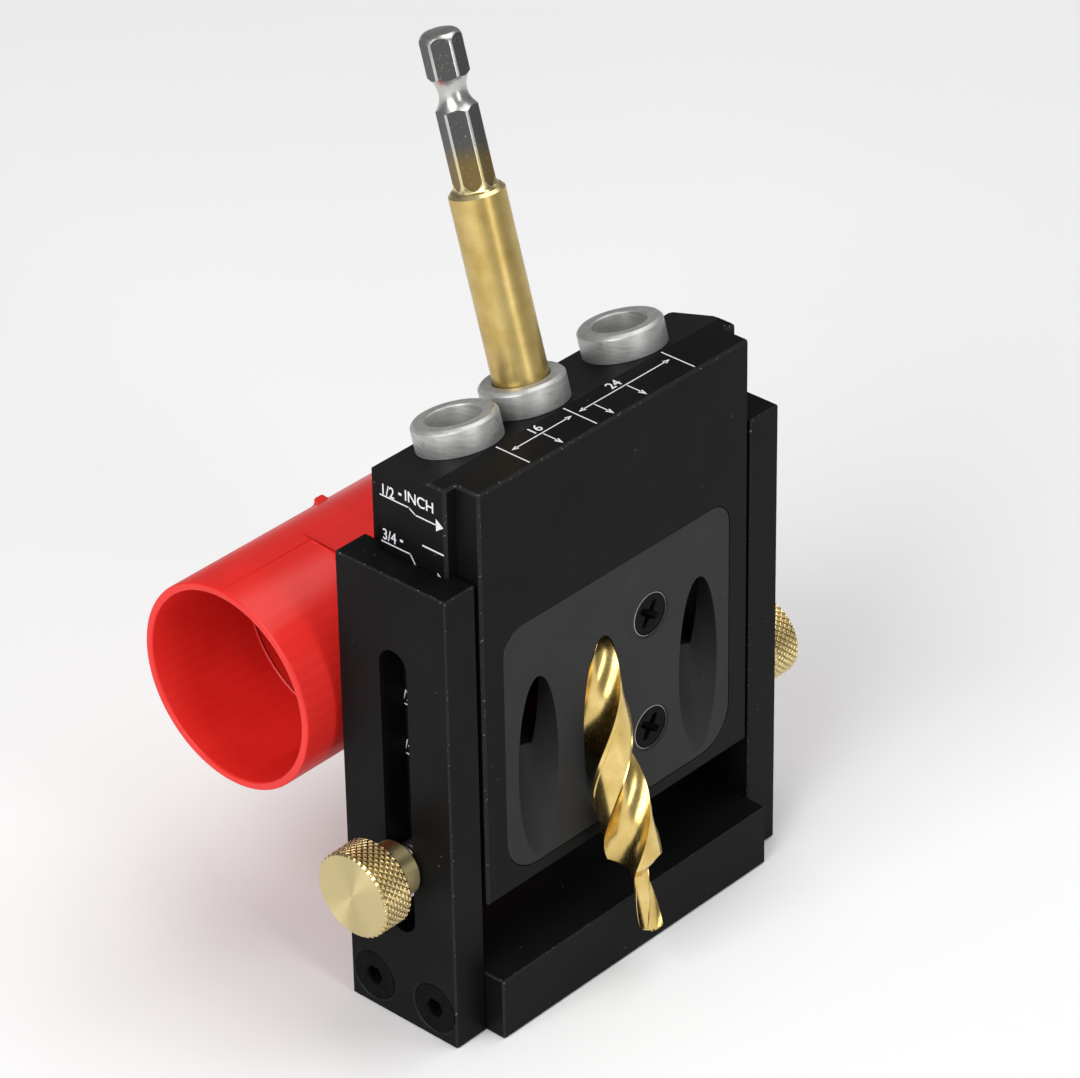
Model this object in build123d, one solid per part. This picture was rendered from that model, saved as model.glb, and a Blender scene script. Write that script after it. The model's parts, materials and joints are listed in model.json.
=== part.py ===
"""Adjustable pocket-hole drill guide with three bushings, a chip hood and a stepped drill.

Millimetres, +Z up. The origin is on the underside of the stop bar, midway between the side
plates, straight below the working face. The working face of the guide is the plane Y = 0 and
looks towards -Y. The guide slides up and down between two channelled side plates, and a brass
thumb screw on each side clamps it.
"""
import math
import os

from build123d import *

# Drilling axes: three bores side by side, leaning back from the working face.
BORE_X = {"left": -20.0, "middle": -4.0, "right": 20.0}
BORE_LEAN = 16.0
BORE_EXIT_Z = 46.8
DRILL_D = 9.5
BUSHING_BORE_R = DRILL_D / 2 + 0.05

# Gaps on a radius or on one side, and how far a cut runs past a face.
PUSH_GAP = 0.02
SCREW_GAP = 0.1
LOOSE_GAP = 0.2
PAST = 1.0

# Guide block: a plus-shaped section, with the tongues running in the plates' channels.
GUIDE_Z0, GUIDE_Z1 = 25.1, 105.0
GUIDE_HALF_X = 32.9
TONGUE_HALF_X = 35.4
TONGUE_Y0, TONGUE_Y1 = 5.0, 19.5
GUIDE_BACK_Y = 24.0
CREASE_Y = 8.35
SLOPE_CUT = (90.0, 80.0, 40.0)
WINDOWS_X = ((-22.5, 1.5), (14.5, 24.5))

# Side plates.
PLATE_OUT_X = 41.0
PLATE_LIP_X = 33.8
PLATE_Y0, PLATE_Y1 = 0.3, 24.6
PLATE_TOP_Z = 88.7
CHANNEL_GAP_Y = 0.1
CHANNEL_FLOOR_X = TONGUE_HALF_X + 0.3
CHANNEL_Z0 = 12.5
SLOT_Y = 12.25
SLOT_W = 6.1
SLOT_Z0, SLOT_Z1 = 18.9, 74.6

# Stop bar across the bottom; its front edge is the fence for the workpiece's end.
BAR_TOP_Z = 12.0
BAR_FRONT_Y = -3.8
BAR_BACK_Y = PLATE_Y1

# M5 countersunk screws, two at each end of the bar.
PLATE_SCREW_Y = {"front": 5.4, "rear": 19.35}
PLATE_SCREW_Z = 6.1
PLATE_SCREW_R = 2.5
PLATE_SCREW_HEAD_R = 4.8
PLATE_SCREW_LENGTH = 16.0
PLATE_SCREW_SINK = 0.1
HEX_KEY, HEX_KEY_DEPTH = 3.0, 2.6

# Bushings.
BUSHING_FLANGE_R = 7.4
BUSHING_FLANGE_H = 4.8
BUSHING_BODY_R = 6.3
BUSHING_DEPTH = 20.0
BUSHING_EDGE = 0.6

# Exit insert: a plastic block let into the working face, with the three slanted exits.
INSERT_HALF_X = 28.0
INSERT_Z0, INSERT_Z1 = 28.0, 76.25
INSERT_DEPTH = 14.0
INSERT_TOP_R, INSERT_FOOT_R = 4.5, 7.5
INSERT_GAP = 0.1
EXIT_R = 4.85
EXIT_START, EXIT_END = -40.0, 50.0
DRILL_WAY_R, DRILL_WAY_START = 5.0, 25.0
CHAMBER_Y = 4.4
CHAMBER_Z0, CHAMBER_Z1 = 48.0, 72.0
CHAMBERS_X = ((-25.5, 1.5), (14.5, 25.5))

# M4 screws through the insert and the block into the hood.
INSERT_SCREW_X = 8.0
INSERT_SCREW_Z = {"upper": 62.9, "lower": 40.2}
INSERT_SCREW_R = 2.0
INSERT_SCREW_HEAD_R = 4.1
INSERT_SCREW_LENGTH = 30.0
INSERT_SCREW_SINK = 0.2
CROSS_TURNS = (35, 125)
CROSS_LENGTH, CROSS_WIDTH, CROSS_DEPTH = 4.4, 1.0, 1.5

# Dust port: a round tube along X, joined to a hood that covers the chip windows.
PORT_Y, PORT_Z = 45.0, 56.5
PORT_R = 19.0
PORT_BORE_R = 17.5
PORT_MOUTH_X = -47.5
HOOD_X0, HOOD_X1 = -26.5, 27.0
HOOD_WALL = 1.75
# Small moulded lug on the hood's upper back.
LUG_X0, LUG_X1 = -13.4, -11.2
LUG_Y0, LUG_Y1 = 52.5, 57.4
LUG_Z0, LUG_Z1 = 68.8, 72.4
BOSS_R = 4.2
BOSS_END_Y = 34.0
BOSS_HOLE_END_Y = 31.5
RIB_HALF_X = 1.25
RIB_END_Y = 30.0

# Thumb screws: an M6 stud in a knurled brass knob, on each side.
THUMB_Z = 32.2
KNOB_FACE_X, KNOB_BACK_X = 52.4, 46.2
KNOB_R = 7.85
KNOB_EDGE = 0.4
COLLAR_R = 5.0
COLLAR_END_X = 41.1
STUD_R = 2.95
STUD_SEAT_X = 50.0
STUD_TIP_X = 30.6
STUD_POINT = 0.8
STUD_HOLE_X = 28.0
THREAD_HOLE_R = 3.0

# Stepped drill: distances along its axis from the point where it crosses the working face.
PILOT_R = 2.0
POINT_R, POINT_LENGTH = 0.4, 0.8
PILOT_TIP, PILOT_TOP, SHOULDER = -39.0, -26.8, -25.4
SHANK_TOP = 95.3
SHANK_EDGE = 0.5
HEX_AF = 6.35
HEX_TOP = 122.5
HEX_TURN = 12.0
HEX_END_LENGTH, HEX_END_DROP = 1.5, 1.2
NECK_LOW, NECK_HIGH = 109.6, 115.2
NECK_R = 2.4
NECK_SLOPE = 0.6

BLOCK_EDGE, PLATE_EDGE = 0.5, 0.3
FINE_EDGE = 0.25


def bore_plane(x, distance):
    """Plane square to a drilling axis, at a distance up the axis from the working face."""
    lean = math.radians(BORE_LEAN)
    origin = (x, distance * math.sin(lean), BORE_EXIT_Z + distance * math.cos(lean))
    return Plane(origin=origin, x_dir=(1, 0, 0), z_dir=(0, math.sin(lean), math.cos(lean)))


def seat_distance():
    """Distance up a drilling axis at which it leaves the block's sloping top."""
    lean = math.radians(BORE_LEAN)
    return CREASE_Y * math.sin(lean) + (GUIDE_Z1 - BORE_EXIT_Z) * math.cos(lean)


def block(x0, x1, y0, y1, z0, z1):
    """Box between two opposite corners."""
    size = Box(x1 - x0, y1 - y0, z1 - z0)
    return Pos((x0 + x1) / 2, (y0 + y1) / 2, (z0 + z1) / 2) * size


def rod(plane, radius, start, end):
    """Round rod along a plane's normal, from start to end."""
    return plane.offset(start) * extrude(Circle(radius), end - start)


def cone(plane, radius_0, radius_1, start, end):
    """Straight cone or chamfer ring along a plane's normal."""
    height = end - start
    return plane.offset((start + end) / 2) * Cone(radius_0, radius_1, height)


def side_plane(y, z):
    """Plane with its origin on the line through (y, z) and its normal along +X."""
    return Plane(origin=(0, y, z), x_dir=(0, 1, 0), z_dir=(1, 0, 0))


def front_plane(x, z):
    """Plane in the working face with its normal pointing into the guide, along +Y."""
    return Plane(origin=(x, 0, z), x_dir=(1, 0, 0), z_dir=(0, 1, 0))


def right_plate():
    """C-section plate, slotted for the thumb screw and solid beside the stop bar."""
    outline = block(PLATE_LIP_X, PLATE_OUT_X, PLATE_Y0, PLATE_Y1, 0, PLATE_TOP_Z)
    outline = chamfer(outline.edges(), PLATE_EDGE)
    channel_y = (TONGUE_Y0 - CHANNEL_GAP_Y, TONGUE_Y1 + CHANNEL_GAP_Y)
    outline -= block(PLATE_LIP_X - PAST, CHANNEL_FLOOR_X, *channel_y, CHANNEL_Z0, PLATE_TOP_Z + PAST)
    half = SLOT_W / 2
    for z in (SLOT_Z0 + half, SLOT_Z1 - half):
        outline -= rod(side_plane(SLOT_Y, z), half, PLATE_LIP_X, PLATE_OUT_X + PAST)
    straight = (SLOT_Z0 + half, SLOT_Z1 - half)
    outline -= block(PLATE_LIP_X, PLATE_OUT_X + PAST, SLOT_Y - half, SLOT_Y + half, *straight)
    head_r = PLATE_SCREW_HEAD_R + SCREW_GAP
    sink_x = PLATE_OUT_X - (head_r - PLATE_SCREW_R)
    for y in PLATE_SCREW_Y.values():
        hole = side_plane(y, PLATE_SCREW_Z)
        outline -= rod(hole, PLATE_SCREW_R + SCREW_GAP, PLATE_LIP_X - PAST, PLATE_OUT_X + PAST)
        outline -= cone(hole, PLATE_SCREW_R, head_r, sink_x, PLATE_OUT_X)
    return outline


def stop_bar():
    """Bar between the plates, tapped at both ends."""
    bar = block(-PLATE_LIP_X, PLATE_LIP_X, BAR_FRONT_Y, BAR_BACK_Y, 0, BAR_TOP_Z)
    bar = chamfer(bar.edges(), PLATE_EDGE)
    for y in PLATE_SCREW_Y.values():
        hole = side_plane(y, PLATE_SCREW_Z)
        inner, outer = PLATE_OUT_X - PLATE_SCREW_LENGTH - PAST, PLATE_LIP_X + PAST
        for low, high in ((inner, outer), (-outer, -inner)):
            bar -= rod(hole, PLATE_SCREW_R + PUSH_GAP, low, high)
    return bar


def right_plate_screw(y):
    """Countersunk screw with a hexagon socket, its head just under the plate's outer face."""
    axis = side_plane(y, PLATE_SCREW_Z)
    top = PLATE_OUT_X - PLATE_SCREW_SINK
    head = PLATE_SCREW_HEAD_R - PLATE_SCREW_R
    screw = cone(axis, PLATE_SCREW_R, PLATE_SCREW_HEAD_R, top - head, top)
    screw += rod(axis, PLATE_SCREW_R, PLATE_OUT_X - PLATE_SCREW_LENGTH, top - head)
    key = RegularPolygon(HEX_KEY / 2, 6, major_radius=False)
    screw -= axis.offset(top - HEX_KEY_DEPTH) * extrude(key, HEX_KEY_DEPTH + PAST)
    return screw


def guide_block():
    """Block with a plus-shaped section, sloping top, bushing seats and chip windows behind."""
    front = block(-GUIDE_HALF_X, GUIDE_HALF_X, 0, GUIDE_BACK_Y, GUIDE_Z0, GUIDE_Z1)
    tongue = block(-TONGUE_HALF_X, TONGUE_HALF_X, TONGUE_Y0, TONGUE_Y1, GUIDE_Z0, GUIDE_Z1)
    body = chamfer(front.edges(), BLOCK_EDGE) + chamfer(tongue.edges(), BLOCK_EDGE)
    slope = Plane(origin=(0, CREASE_Y, GUIDE_Z1), x_dir=(1, 0, 0), z_dir=bore_plane(0, 0).z_dir)
    body -= slope * Pos(0, 0, SLOPE_CUT[2] / 2) * Box(*SLOPE_CUT)
    pocket_z = (INSERT_Z0 - INSERT_GAP, INSERT_Z1 + INSERT_GAP)
    body -= rounded_plug(INSERT_HALF_X + INSERT_GAP, *pocket_z, INSERT_DEPTH)
    for x0, x1 in WINDOWS_X:
        body -= block(x0, x1, INSERT_DEPTH - PAST, GUIDE_BACK_Y + PAST, CHAMBER_Z0, CHAMBER_Z1)
    seat = seat_distance()
    for x in BORE_X.values():
        axis = bore_plane(x, 0)
        body -= rod(axis, BUSHING_BODY_R + PUSH_GAP, seat - BUSHING_DEPTH, seat + BUSHING_FLANGE_H)
        body -= rod(axis, DRILL_WAY_R, DRILL_WAY_START, seat)
    for z in INSERT_SCREW_Z.values():
        hole = front_plane(INSERT_SCREW_X, z)
        body -= rod(hole, INSERT_SCREW_R + LOOSE_GAP, 0, GUIDE_BACK_Y + PAST)
    outer = TONGUE_HALF_X + PAST
    for low, high in ((STUD_HOLE_X, outer), (-outer, -STUD_HOLE_X)):
        body -= rod(side_plane(SLOT_Y, THUMB_Z), THREAD_HOLE_R, low, high)
    return body


def rounded_plug(half_x, z0, z1, depth):
    """Flat plug in the working face, with rounder corners at its foot."""
    outline = Pos(0, (z0 + z1) / 2) * Rectangle(2 * half_x, z1 - z0)
    outline = fillet(outline.vertices().group_by(Axis.Y)[0], INSERT_FOOT_R)
    outline = fillet(outline.vertices().group_by(Axis.Y)[-1], INSERT_TOP_R)
    face = Plane(origin=(0, 0, 0), x_dir=(1, 0, 0), z_dir=(0, -1, 0)) * outline
    return extrude(face, depth, dir=(0, 1, 0))


def exit_insert():
    """Flush plastic insert with the slanted exits, opened behind to the chip chambers."""
    insert = rounded_plug(INSERT_HALF_X, INSERT_Z0, INSERT_Z1, INSERT_DEPTH)
    for x in BORE_X.values():
        insert -= rod(bore_plane(x, 0), EXIT_R, EXIT_START, EXIT_END)
    for x0, x1 in CHAMBERS_X:
        insert -= block(x0, x1, CHAMBER_Y, INSERT_DEPTH + PAST, CHAMBER_Z0, CHAMBER_Z1)
    hole_r = INSERT_SCREW_R + LOOSE_GAP
    head_r = INSERT_SCREW_HEAD_R + LOOSE_GAP + SCREW_GAP
    sink = INSERT_SCREW_HEAD_R - INSERT_SCREW_R + LOOSE_GAP
    for z in INSERT_SCREW_Z.values():
        axis = front_plane(INSERT_SCREW_X, z)
        insert -= rod(axis, hole_r, -PAST, INSERT_DEPTH + PAST)
        insert -= cone(axis, head_r, hole_r, 0, sink)
    return insert


def insert_screw(z):
    """Countersunk screw with a cross recess, its head just under the working face."""
    axis = front_plane(INSERT_SCREW_X, z)
    top = INSERT_SCREW_SINK
    head = INSERT_SCREW_HEAD_R - INSERT_SCREW_R
    screw = cone(axis, INSERT_SCREW_HEAD_R, INSERT_SCREW_R, top, top + head)
    screw += rod(axis, INSERT_SCREW_R, top + head, top + INSERT_SCREW_LENGTH)
    slot = Box(CROSS_LENGTH, CROSS_WIDTH, CROSS_DEPTH + PAST)
    for turn in CROSS_TURNS:
        screw -= axis.offset(top + (CROSS_DEPTH - PAST) / 2) * Rot(0, 0, turn) * slot
    return screw


def bushing(x):
    """Hardened flanged bushing, its flange square to the drilling axis."""
    axis = bore_plane(x, seat_distance())
    blank = rod(axis, BUSHING_FLANGE_R, 0, BUSHING_FLANGE_H)
    blank = chamfer(blank.edges().group_by(Axis(axis.origin, axis.z_dir))[-1], BUSHING_EDGE)
    blank += rod(axis, BUSHING_BODY_R, -BUSHING_DEPTH, 0)
    blank -= rod(axis, BUSHING_BORE_R, -BUSHING_DEPTH - PAST, BUSHING_FLANGE_H + PAST)
    mouth = (BUSHING_FLANGE_H - FINE_EDGE, BUSHING_FLANGE_H)
    return blank - cone(axis, BUSHING_BORE_R, BUSHING_BORE_R + FINE_EDGE, *mouth)


def hood_shell(radius, mouth_x, shrink, front):
    """Round tube along X with a flat-topped hood in front of it, shrunk by a wall thickness."""
    x1 = HOOD_X1 - shrink
    shell = block(HOOD_X0 + shrink, x1, front, PORT_Y, PORT_Z - radius, PORT_Z + radius)
    return shell + rod(side_plane(PORT_Y, PORT_Z), radius, mouth_x, x1)


def dust_port():
    """Moulded tube and hood, open to the chip windows, with bosses for the long screws."""
    outer = hood_shell(PORT_R, PORT_MOUTH_X, 0, GUIDE_BACK_Y)
    outer += block(LUG_X0, LUG_X1, LUG_Y0, LUG_Y1, LUG_Z0, LUG_Z1)
    hollow_x0 = HOOD_X0 + HOOD_WALL
    port = outer - hood_shell(PORT_R - HOOD_WALL, hollow_x0, HOOD_WALL, GUIDE_BACK_Y - PAST)
    port -= rod(side_plane(PORT_Y, PORT_Z), PORT_BORE_R, PORT_MOUTH_X - PAST, hollow_x0)
    reach = PORT_R - HOOD_WALL / 2
    port += block(INSERT_SCREW_X - RIB_HALF_X, INSERT_SCREW_X + RIB_HALF_X, GUIDE_BACK_Y,
                  RIB_END_Y, PORT_Z - reach, PORT_Z + reach)
    for z in INSERT_SCREW_Z.values():
        port += rod(front_plane(INSERT_SCREW_X, z), BOSS_R, GUIDE_BACK_Y, BOSS_END_Y)
    for z in INSERT_SCREW_Z.values():
        hole = front_plane(INSERT_SCREW_X, z)
        port -= rod(hole, INSERT_SCREW_R + PUSH_GAP, GUIDE_BACK_Y - PAST, BOSS_HOLE_END_Y)
    return port


def right_knob():
    """Brass thumb knob with a plain collar towards the plate."""
    axis = side_plane(SLOT_Y, THUMB_Z)
    head = chamfer(rod(axis, KNOB_R, KNOB_BACK_X, KNOB_FACE_X).edges(), KNOB_EDGE)
    knob = head + rod(axis, COLLAR_R, COLLAR_END_X, KNOB_BACK_X + PAST)
    return knob - rod(axis, STUD_R + PUSH_GAP, COLLAR_END_X - PAST, STUD_SEAT_X)


def right_stud():
    """Threaded stud fixed in the knob, its tip pointed into the guide's tapped hole."""
    axis = side_plane(SLOT_Y, THUMB_Z)
    shoulder_x = STUD_TIP_X + STUD_POINT
    stud = rod(axis, STUD_R, shoulder_x, STUD_SEAT_X)
    return stud + cone(axis, STUD_R - STUD_POINT, STUD_R, STUD_TIP_X, shoulder_x)


def step_drill():
    """Stepped drill with a round shank and a hexagonal quick-change end."""
    axis = bore_plane(BORE_X["middle"], 0)
    shank_r = DRILL_D / 2
    drill = cone(axis, POINT_R, PILOT_R, PILOT_TIP, PILOT_TIP + POINT_LENGTH)
    drill += rod(axis, PILOT_R, PILOT_TIP + POINT_LENGTH, PILOT_TOP)
    drill += cone(axis, PILOT_R, shank_r, PILOT_TOP, SHOULDER)
    drill += rod(axis, shank_r, SHOULDER, SHANK_TOP)
    drill += cone(axis, shank_r, shank_r - SHANK_EDGE, SHANK_TOP, SHANK_TOP + SHANK_EDGE)
    return drill + hexagon_end(axis)


def hexagon_end(axis):
    """Quick-change end: a hexagon with a rounded top and a turned neck."""
    corner = HEX_AF / math.sqrt(3)
    hexagon = Rot(0, 0, HEX_TURN) * RegularPolygon(HEX_AF / 2, 6, major_radius=False)
    shank = axis.offset(SHANK_TOP) * extrude(hexagon, HEX_TOP - SHANK_TOP)
    end_start = HEX_TOP - HEX_END_LENGTH
    rounded = rod(axis, corner, SHANK_TOP, end_start)
    rounded += cone(axis, corner, corner - HEX_END_DROP, end_start, HEX_TOP)
    shank = shank & rounded
    outer = corner + PAST
    neck = rod(axis, outer, NECK_LOW, NECK_HIGH)
    slope = (outer - NECK_R) * NECK_SLOPE
    core = rod(axis, NECK_R, NECK_LOW, NECK_HIGH)
    core += cone(axis, outer, NECK_R, NECK_LOW, NECK_LOW + slope)
    core += cone(axis, NECK_R, outer, NECK_HIGH - slope, NECK_HIGH)
    return shank - (neck - core)


def mirrored(shape):
    """The same piece on the other side of the middle plane X = 0."""
    return mirror(shape, about=Plane.YZ)


def all_parts():
    """Every piece of the assembly by name."""
    parts = {"stop_bar": stop_bar(), "guide_block": guide_block(), "exit_insert": exit_insert()}
    plate, knob, stud = right_plate(), right_knob(), right_stud()
    parts["right_side_plate"], parts["left_side_plate"] = plate, mirrored(plate)
    parts["right_thumb_knob"], parts["left_thumb_knob"] = knob, mirrored(knob)
    parts["right_thumb_stud"], parts["left_thumb_stud"] = stud, mirrored(stud)
    for place, y in PLATE_SCREW_Y.items():
        screw = right_plate_screw(y)
        parts[f"right_{place}_screw"], parts[f"left_{place}_screw"] = screw, mirrored(screw)
    for place, z in INSERT_SCREW_Z.items():
        parts[f"{place}_insert_screw"] = insert_screw(z)
    for place, x in BORE_X.items():
        parts[f"{place}_bushing"] = bushing(x)
    parts["dust_port"] = dust_port()
    parts["step_drill"] = step_drill()
    return parts


os.makedirs("parts", exist_ok=True)
for name, shape in all_parts().items():
    shape.label = name
    export_step(shape, f"parts/{name}.step")
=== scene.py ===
"""Looks of an adjustable pocket-hole drill guide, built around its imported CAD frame.

Metres, in the CAD frame: +Z up, the working face looks towards -Y. Lengths named in this file
are in millimetres and turned into metres where the geometry is made.
"""
import json
import math

import bmesh
import bpy
from mathutils import Matrix, Vector


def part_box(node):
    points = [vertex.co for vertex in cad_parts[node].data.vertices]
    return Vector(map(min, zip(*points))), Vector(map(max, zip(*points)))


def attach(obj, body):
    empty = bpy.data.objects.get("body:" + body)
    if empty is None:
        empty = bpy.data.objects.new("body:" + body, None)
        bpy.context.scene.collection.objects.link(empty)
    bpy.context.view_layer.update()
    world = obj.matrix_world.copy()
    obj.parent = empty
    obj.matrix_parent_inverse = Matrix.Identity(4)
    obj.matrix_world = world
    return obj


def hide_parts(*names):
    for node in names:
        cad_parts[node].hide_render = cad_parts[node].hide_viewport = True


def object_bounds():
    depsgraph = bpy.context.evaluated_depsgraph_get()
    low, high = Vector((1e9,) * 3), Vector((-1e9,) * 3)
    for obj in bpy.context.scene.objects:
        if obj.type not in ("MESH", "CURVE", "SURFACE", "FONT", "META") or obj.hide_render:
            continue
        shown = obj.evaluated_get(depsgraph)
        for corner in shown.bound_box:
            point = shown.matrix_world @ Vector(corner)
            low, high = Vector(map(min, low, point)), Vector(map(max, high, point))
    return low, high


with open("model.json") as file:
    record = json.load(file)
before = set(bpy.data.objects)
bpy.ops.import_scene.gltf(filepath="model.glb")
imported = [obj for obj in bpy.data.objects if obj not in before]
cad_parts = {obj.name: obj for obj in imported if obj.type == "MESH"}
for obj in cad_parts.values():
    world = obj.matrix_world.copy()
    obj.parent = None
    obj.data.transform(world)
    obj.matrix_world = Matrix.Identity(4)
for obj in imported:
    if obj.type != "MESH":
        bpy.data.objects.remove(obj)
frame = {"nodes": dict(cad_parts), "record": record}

MM = 0.001
CAD_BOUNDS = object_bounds()
SIDES = ("left", "right")
BORES = ("left", "middle", "right")

# Camera: a long lens, from the front left and above.
LENS, SENSOR = 168.85, 36.0
CLIP_START, CLIP_END = 0.05, 20.0
VIEW_AZIMUTH, VIEW_ELEVATION, VIEW_ROLL = -47.083, 32.082, -1.016
VIEW_DISTANCE = 845.96
VIEW_TARGET = (2.04, 19.38, 72.58)

# Drill, in distances along its axis from the working face.
SHANK_R, PILOT_R, TIP_R, WEB_R = 4.75, 2.0, 0.02, 1.05
FLUTE_HALF_ANGLE, MARGIN_ANGLE = math.radians(53), math.radians(9)
FLUTE_PITCH, LEAD_ANGLE = 47.1, math.radians(-122.8)
BODY_CLEARANCE, PILOT_CLEARANCE, MARGIN_STEP = 0.2, 0.08, 0.03
POINT_S, POINT_SLOPE, POINT_RELIEF, POINT_STEPS = -39.0, 1.9, 0.4, 14
SHOULDER_S, SHOULDER_SLOPE, SHOULDER_RELIEF, SHOULDER_STEPS = -27.6, 1.25, 0.9, 26
PILOT_SPACING, BODY_SPACING, SPACING_LEFT = 0.5, 0.6, 0.6
RUN_OUT_START, RUN_OUT_END, RUN_OUT_STEPS = 34.0, 46.0, 28
LIFT_SPARE, PLAIN_START = 0.05, 2.0
SHANK_TOP, SHANK_EDGE = 95.3, 0.5
FLUTE_STEPS, LAND_STEPS = 22, 22

# Hexagonal quick-change end: the flats, the foot on the shank, the groove for the chuck's
# balls and the domed top.
HEX_AF, HEX_CORNER_R, HEX_TOP = 6.35, 3.52, 122.5
HEX_TURN = math.radians(42)
HEX_FACES, FLAT_STEPS, CORNER_STEPS = 6, 6, 4
FOOT_STEPS, FOOT_LIFT, FOOT_LOW, FOOT_RISE = 6, 0.55, 0.35, 1.3
NECK_S, NECK_HALF, NECK_R, NECK_STEPS = 112.4, 2.9, 2.35, 18
DOME_START, DOME_TOP_R, DOME_FULL_R, DOME_STEPS = 120.6, 2.1, HEX_CORNER_R + 0.1, 8
TINT_START, TINT_END = 100.8, 104.2

# Thumb knobs and their threaded studs.
KNURL_COUNT, KNURL_ROWS, KNURL_DEPTH, KNURL_SAMPLES = 37, 4, 0.36, 12
KNOB_EDGE, FACE_RIM, FACE_MIDDLE_R = 0.4, 0.25, 0.4
COLLAR_R, COLLAR_LENGTH, COLLAR_EDGE = 5.0, 5.1, 0.35
STUD_BORE_R, STUD_SEAT = 2.97, 8.9
THREAD_PITCH, THREAD_DEPTH, THREAD_SIDES, THREAD_ROWS = 1.0, 0.55, 36, 8
GROOVE_WIDTH, GROOVE_SLOPE = 1.25, 2.0
STUD_TAPER, STUD_CORE_R = 0.8, 0.8

# Cross-recessed screws in the exit insert.
SCREW_HEAD_R, SCREW_R, SCREW_LENGTH, SCREW_TIP = 4.1, 2.0, 30.0, 0.5
HEAD_RIM, HEAD_DISH, HEAD_LIP, HEAD_LAND = 0.35, 0.12, 0.03, 0.25
HEAD_SIDES, HEAD_RINGS = 128, 30
# Bands round the head's rim that get bare steel: a painted highlight for the glint on the rounded edge.
RIM_GLINT_BANDS = (HEAD_RINGS, HEAD_RINGS + 1)
RECESS_TURN = math.radians(35)
RECESS_REACH, RECESS_WIDTH, RECESS_END_WIDTH = 2.6, 1.55, 1.116
RECESS_DEPTH, RECESS_FLOOR, RECESS_WALL = 2.2, 1.2, 0.22
RECESS_CORE_R, RECESS_CORE_WALL = 1.0, 0.3

# Rounding of moulded and turned edges, node by node.
SOFT_EDGES = {"dust_port": 0.4, "exit_insert": 0.15}
SOFT_EDGES.update({f"{place}_bushing": 0.12 for place in BORES})
PLATE_SCREWS = [f"{side}_{place}_screw" for side in SIDES for place in ("front", "rear")]
SOFT_EDGES.update({screw: 0.35 for screw in PLATE_SCREWS})
SOFT_SEGMENTS, SOFT_ANGLE, WELD_DISTANCE = 3, math.radians(35), 0.001

# Mould line of the dust port.
PORT_EDGE, HOOD_X = 0.6, -26.5
SEAM, SEAM_HEIGHT, SEAM_SUNK = 0.22, 0.08, 0.02

# Prints: thickness of the ink, widths of the lines and lettering.
INK, LINE, FINE_LINE = 0.02, 0.24, 0.22
CAPITAL_SHARE, LETTER_WEIGHT = 0.7, 0.012

# Bore spacings on the guide's top, across from the middle and back from the working face.
BORE_LINE = (0.95, 8.0)
SPACING_Y, SPACING_END, SPACING_SHORT, SPACING_HEAD = 5.5, 0.85, 0.9, (1.3, 0.5)
FACE_ARROWS, FACE_ARROW_LINE, FACE_ARROW_TIP = (-12.0, 0.25, 8.25), (5.1, 2.0), 0.85
FACE_ARROW_HEAD = (1.5, 0.55)
SPACING_TEXTS = (("16", -12.0), ("24", 7.0))
SPACING_TEXT_Y, SPACING_TEXT_HEIGHT = 7.0, 1.9

# Board thicknesses on the guide's left tongue, across from the back and up from the base.
STEP_ARROWS = ((98.85, 0.85), (90.1, 2.2))
STEP_ENDS, STEP_TIP, STEP_HEAD = (-19.2, -12.9, -11.5, -6.95), -5.4, (1.6, 1.15)
SHORT_LINE, SHORT_LEVEL, SHORT_WIDTH = (-10.0, -5.6), 92.9, 0.3
PLAIN_LINE, PLAIN_LEVELS = (-16.5, -9.0), (60.3, 50.5)
DASH, DASH_LEVELS, DASH_WIDTH = (-14.9, -14.7), (100.6, 91.8), 0.45
THICKNESS_TEXT_HEIGHT = 2.0
THICKNESS_TEXTS = (
    ("thickness_1_2", "1/2", -17.6, 99.95, 0.85),
    ("thickness_unit", "INCH", -10.6, 100.75, 0.93),
    ("thickness_3_4", "3/4", -17.5, 91.5, 0.85),
    ("thickness_1_1_2", "1 1/2", -16.2, 62.0, 0.85),
    ("thickness_1_3_4", "1 3/4", -16.2, 52.2, 0.85),
)

# Studio: each softbox by azimuth, elevation, width and height in metres, and power in watts.
ROOM_LIGHT, BACKDROP_LIGHT = 0.22, 1.0
SOFTBOX_DISTANCE = 1.4
SOFTBOXES = (
    ("key_softbox", -82, 32, (0.9, 1.3), 17.8),
    ("front_softbox", -8, 18, (0.30, 0.8), 4.2),
    ("top_softbox", 60, 72, (1.2, 1.2), 11.0),
)
FLOOR_HALF, FLOOR_DROP = 4.0, 0.02

# Points nearer than this, in millimetres, are one point.
COLLAPSED = 0.0005


# ---------------------------------------------------------------- materials

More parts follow.
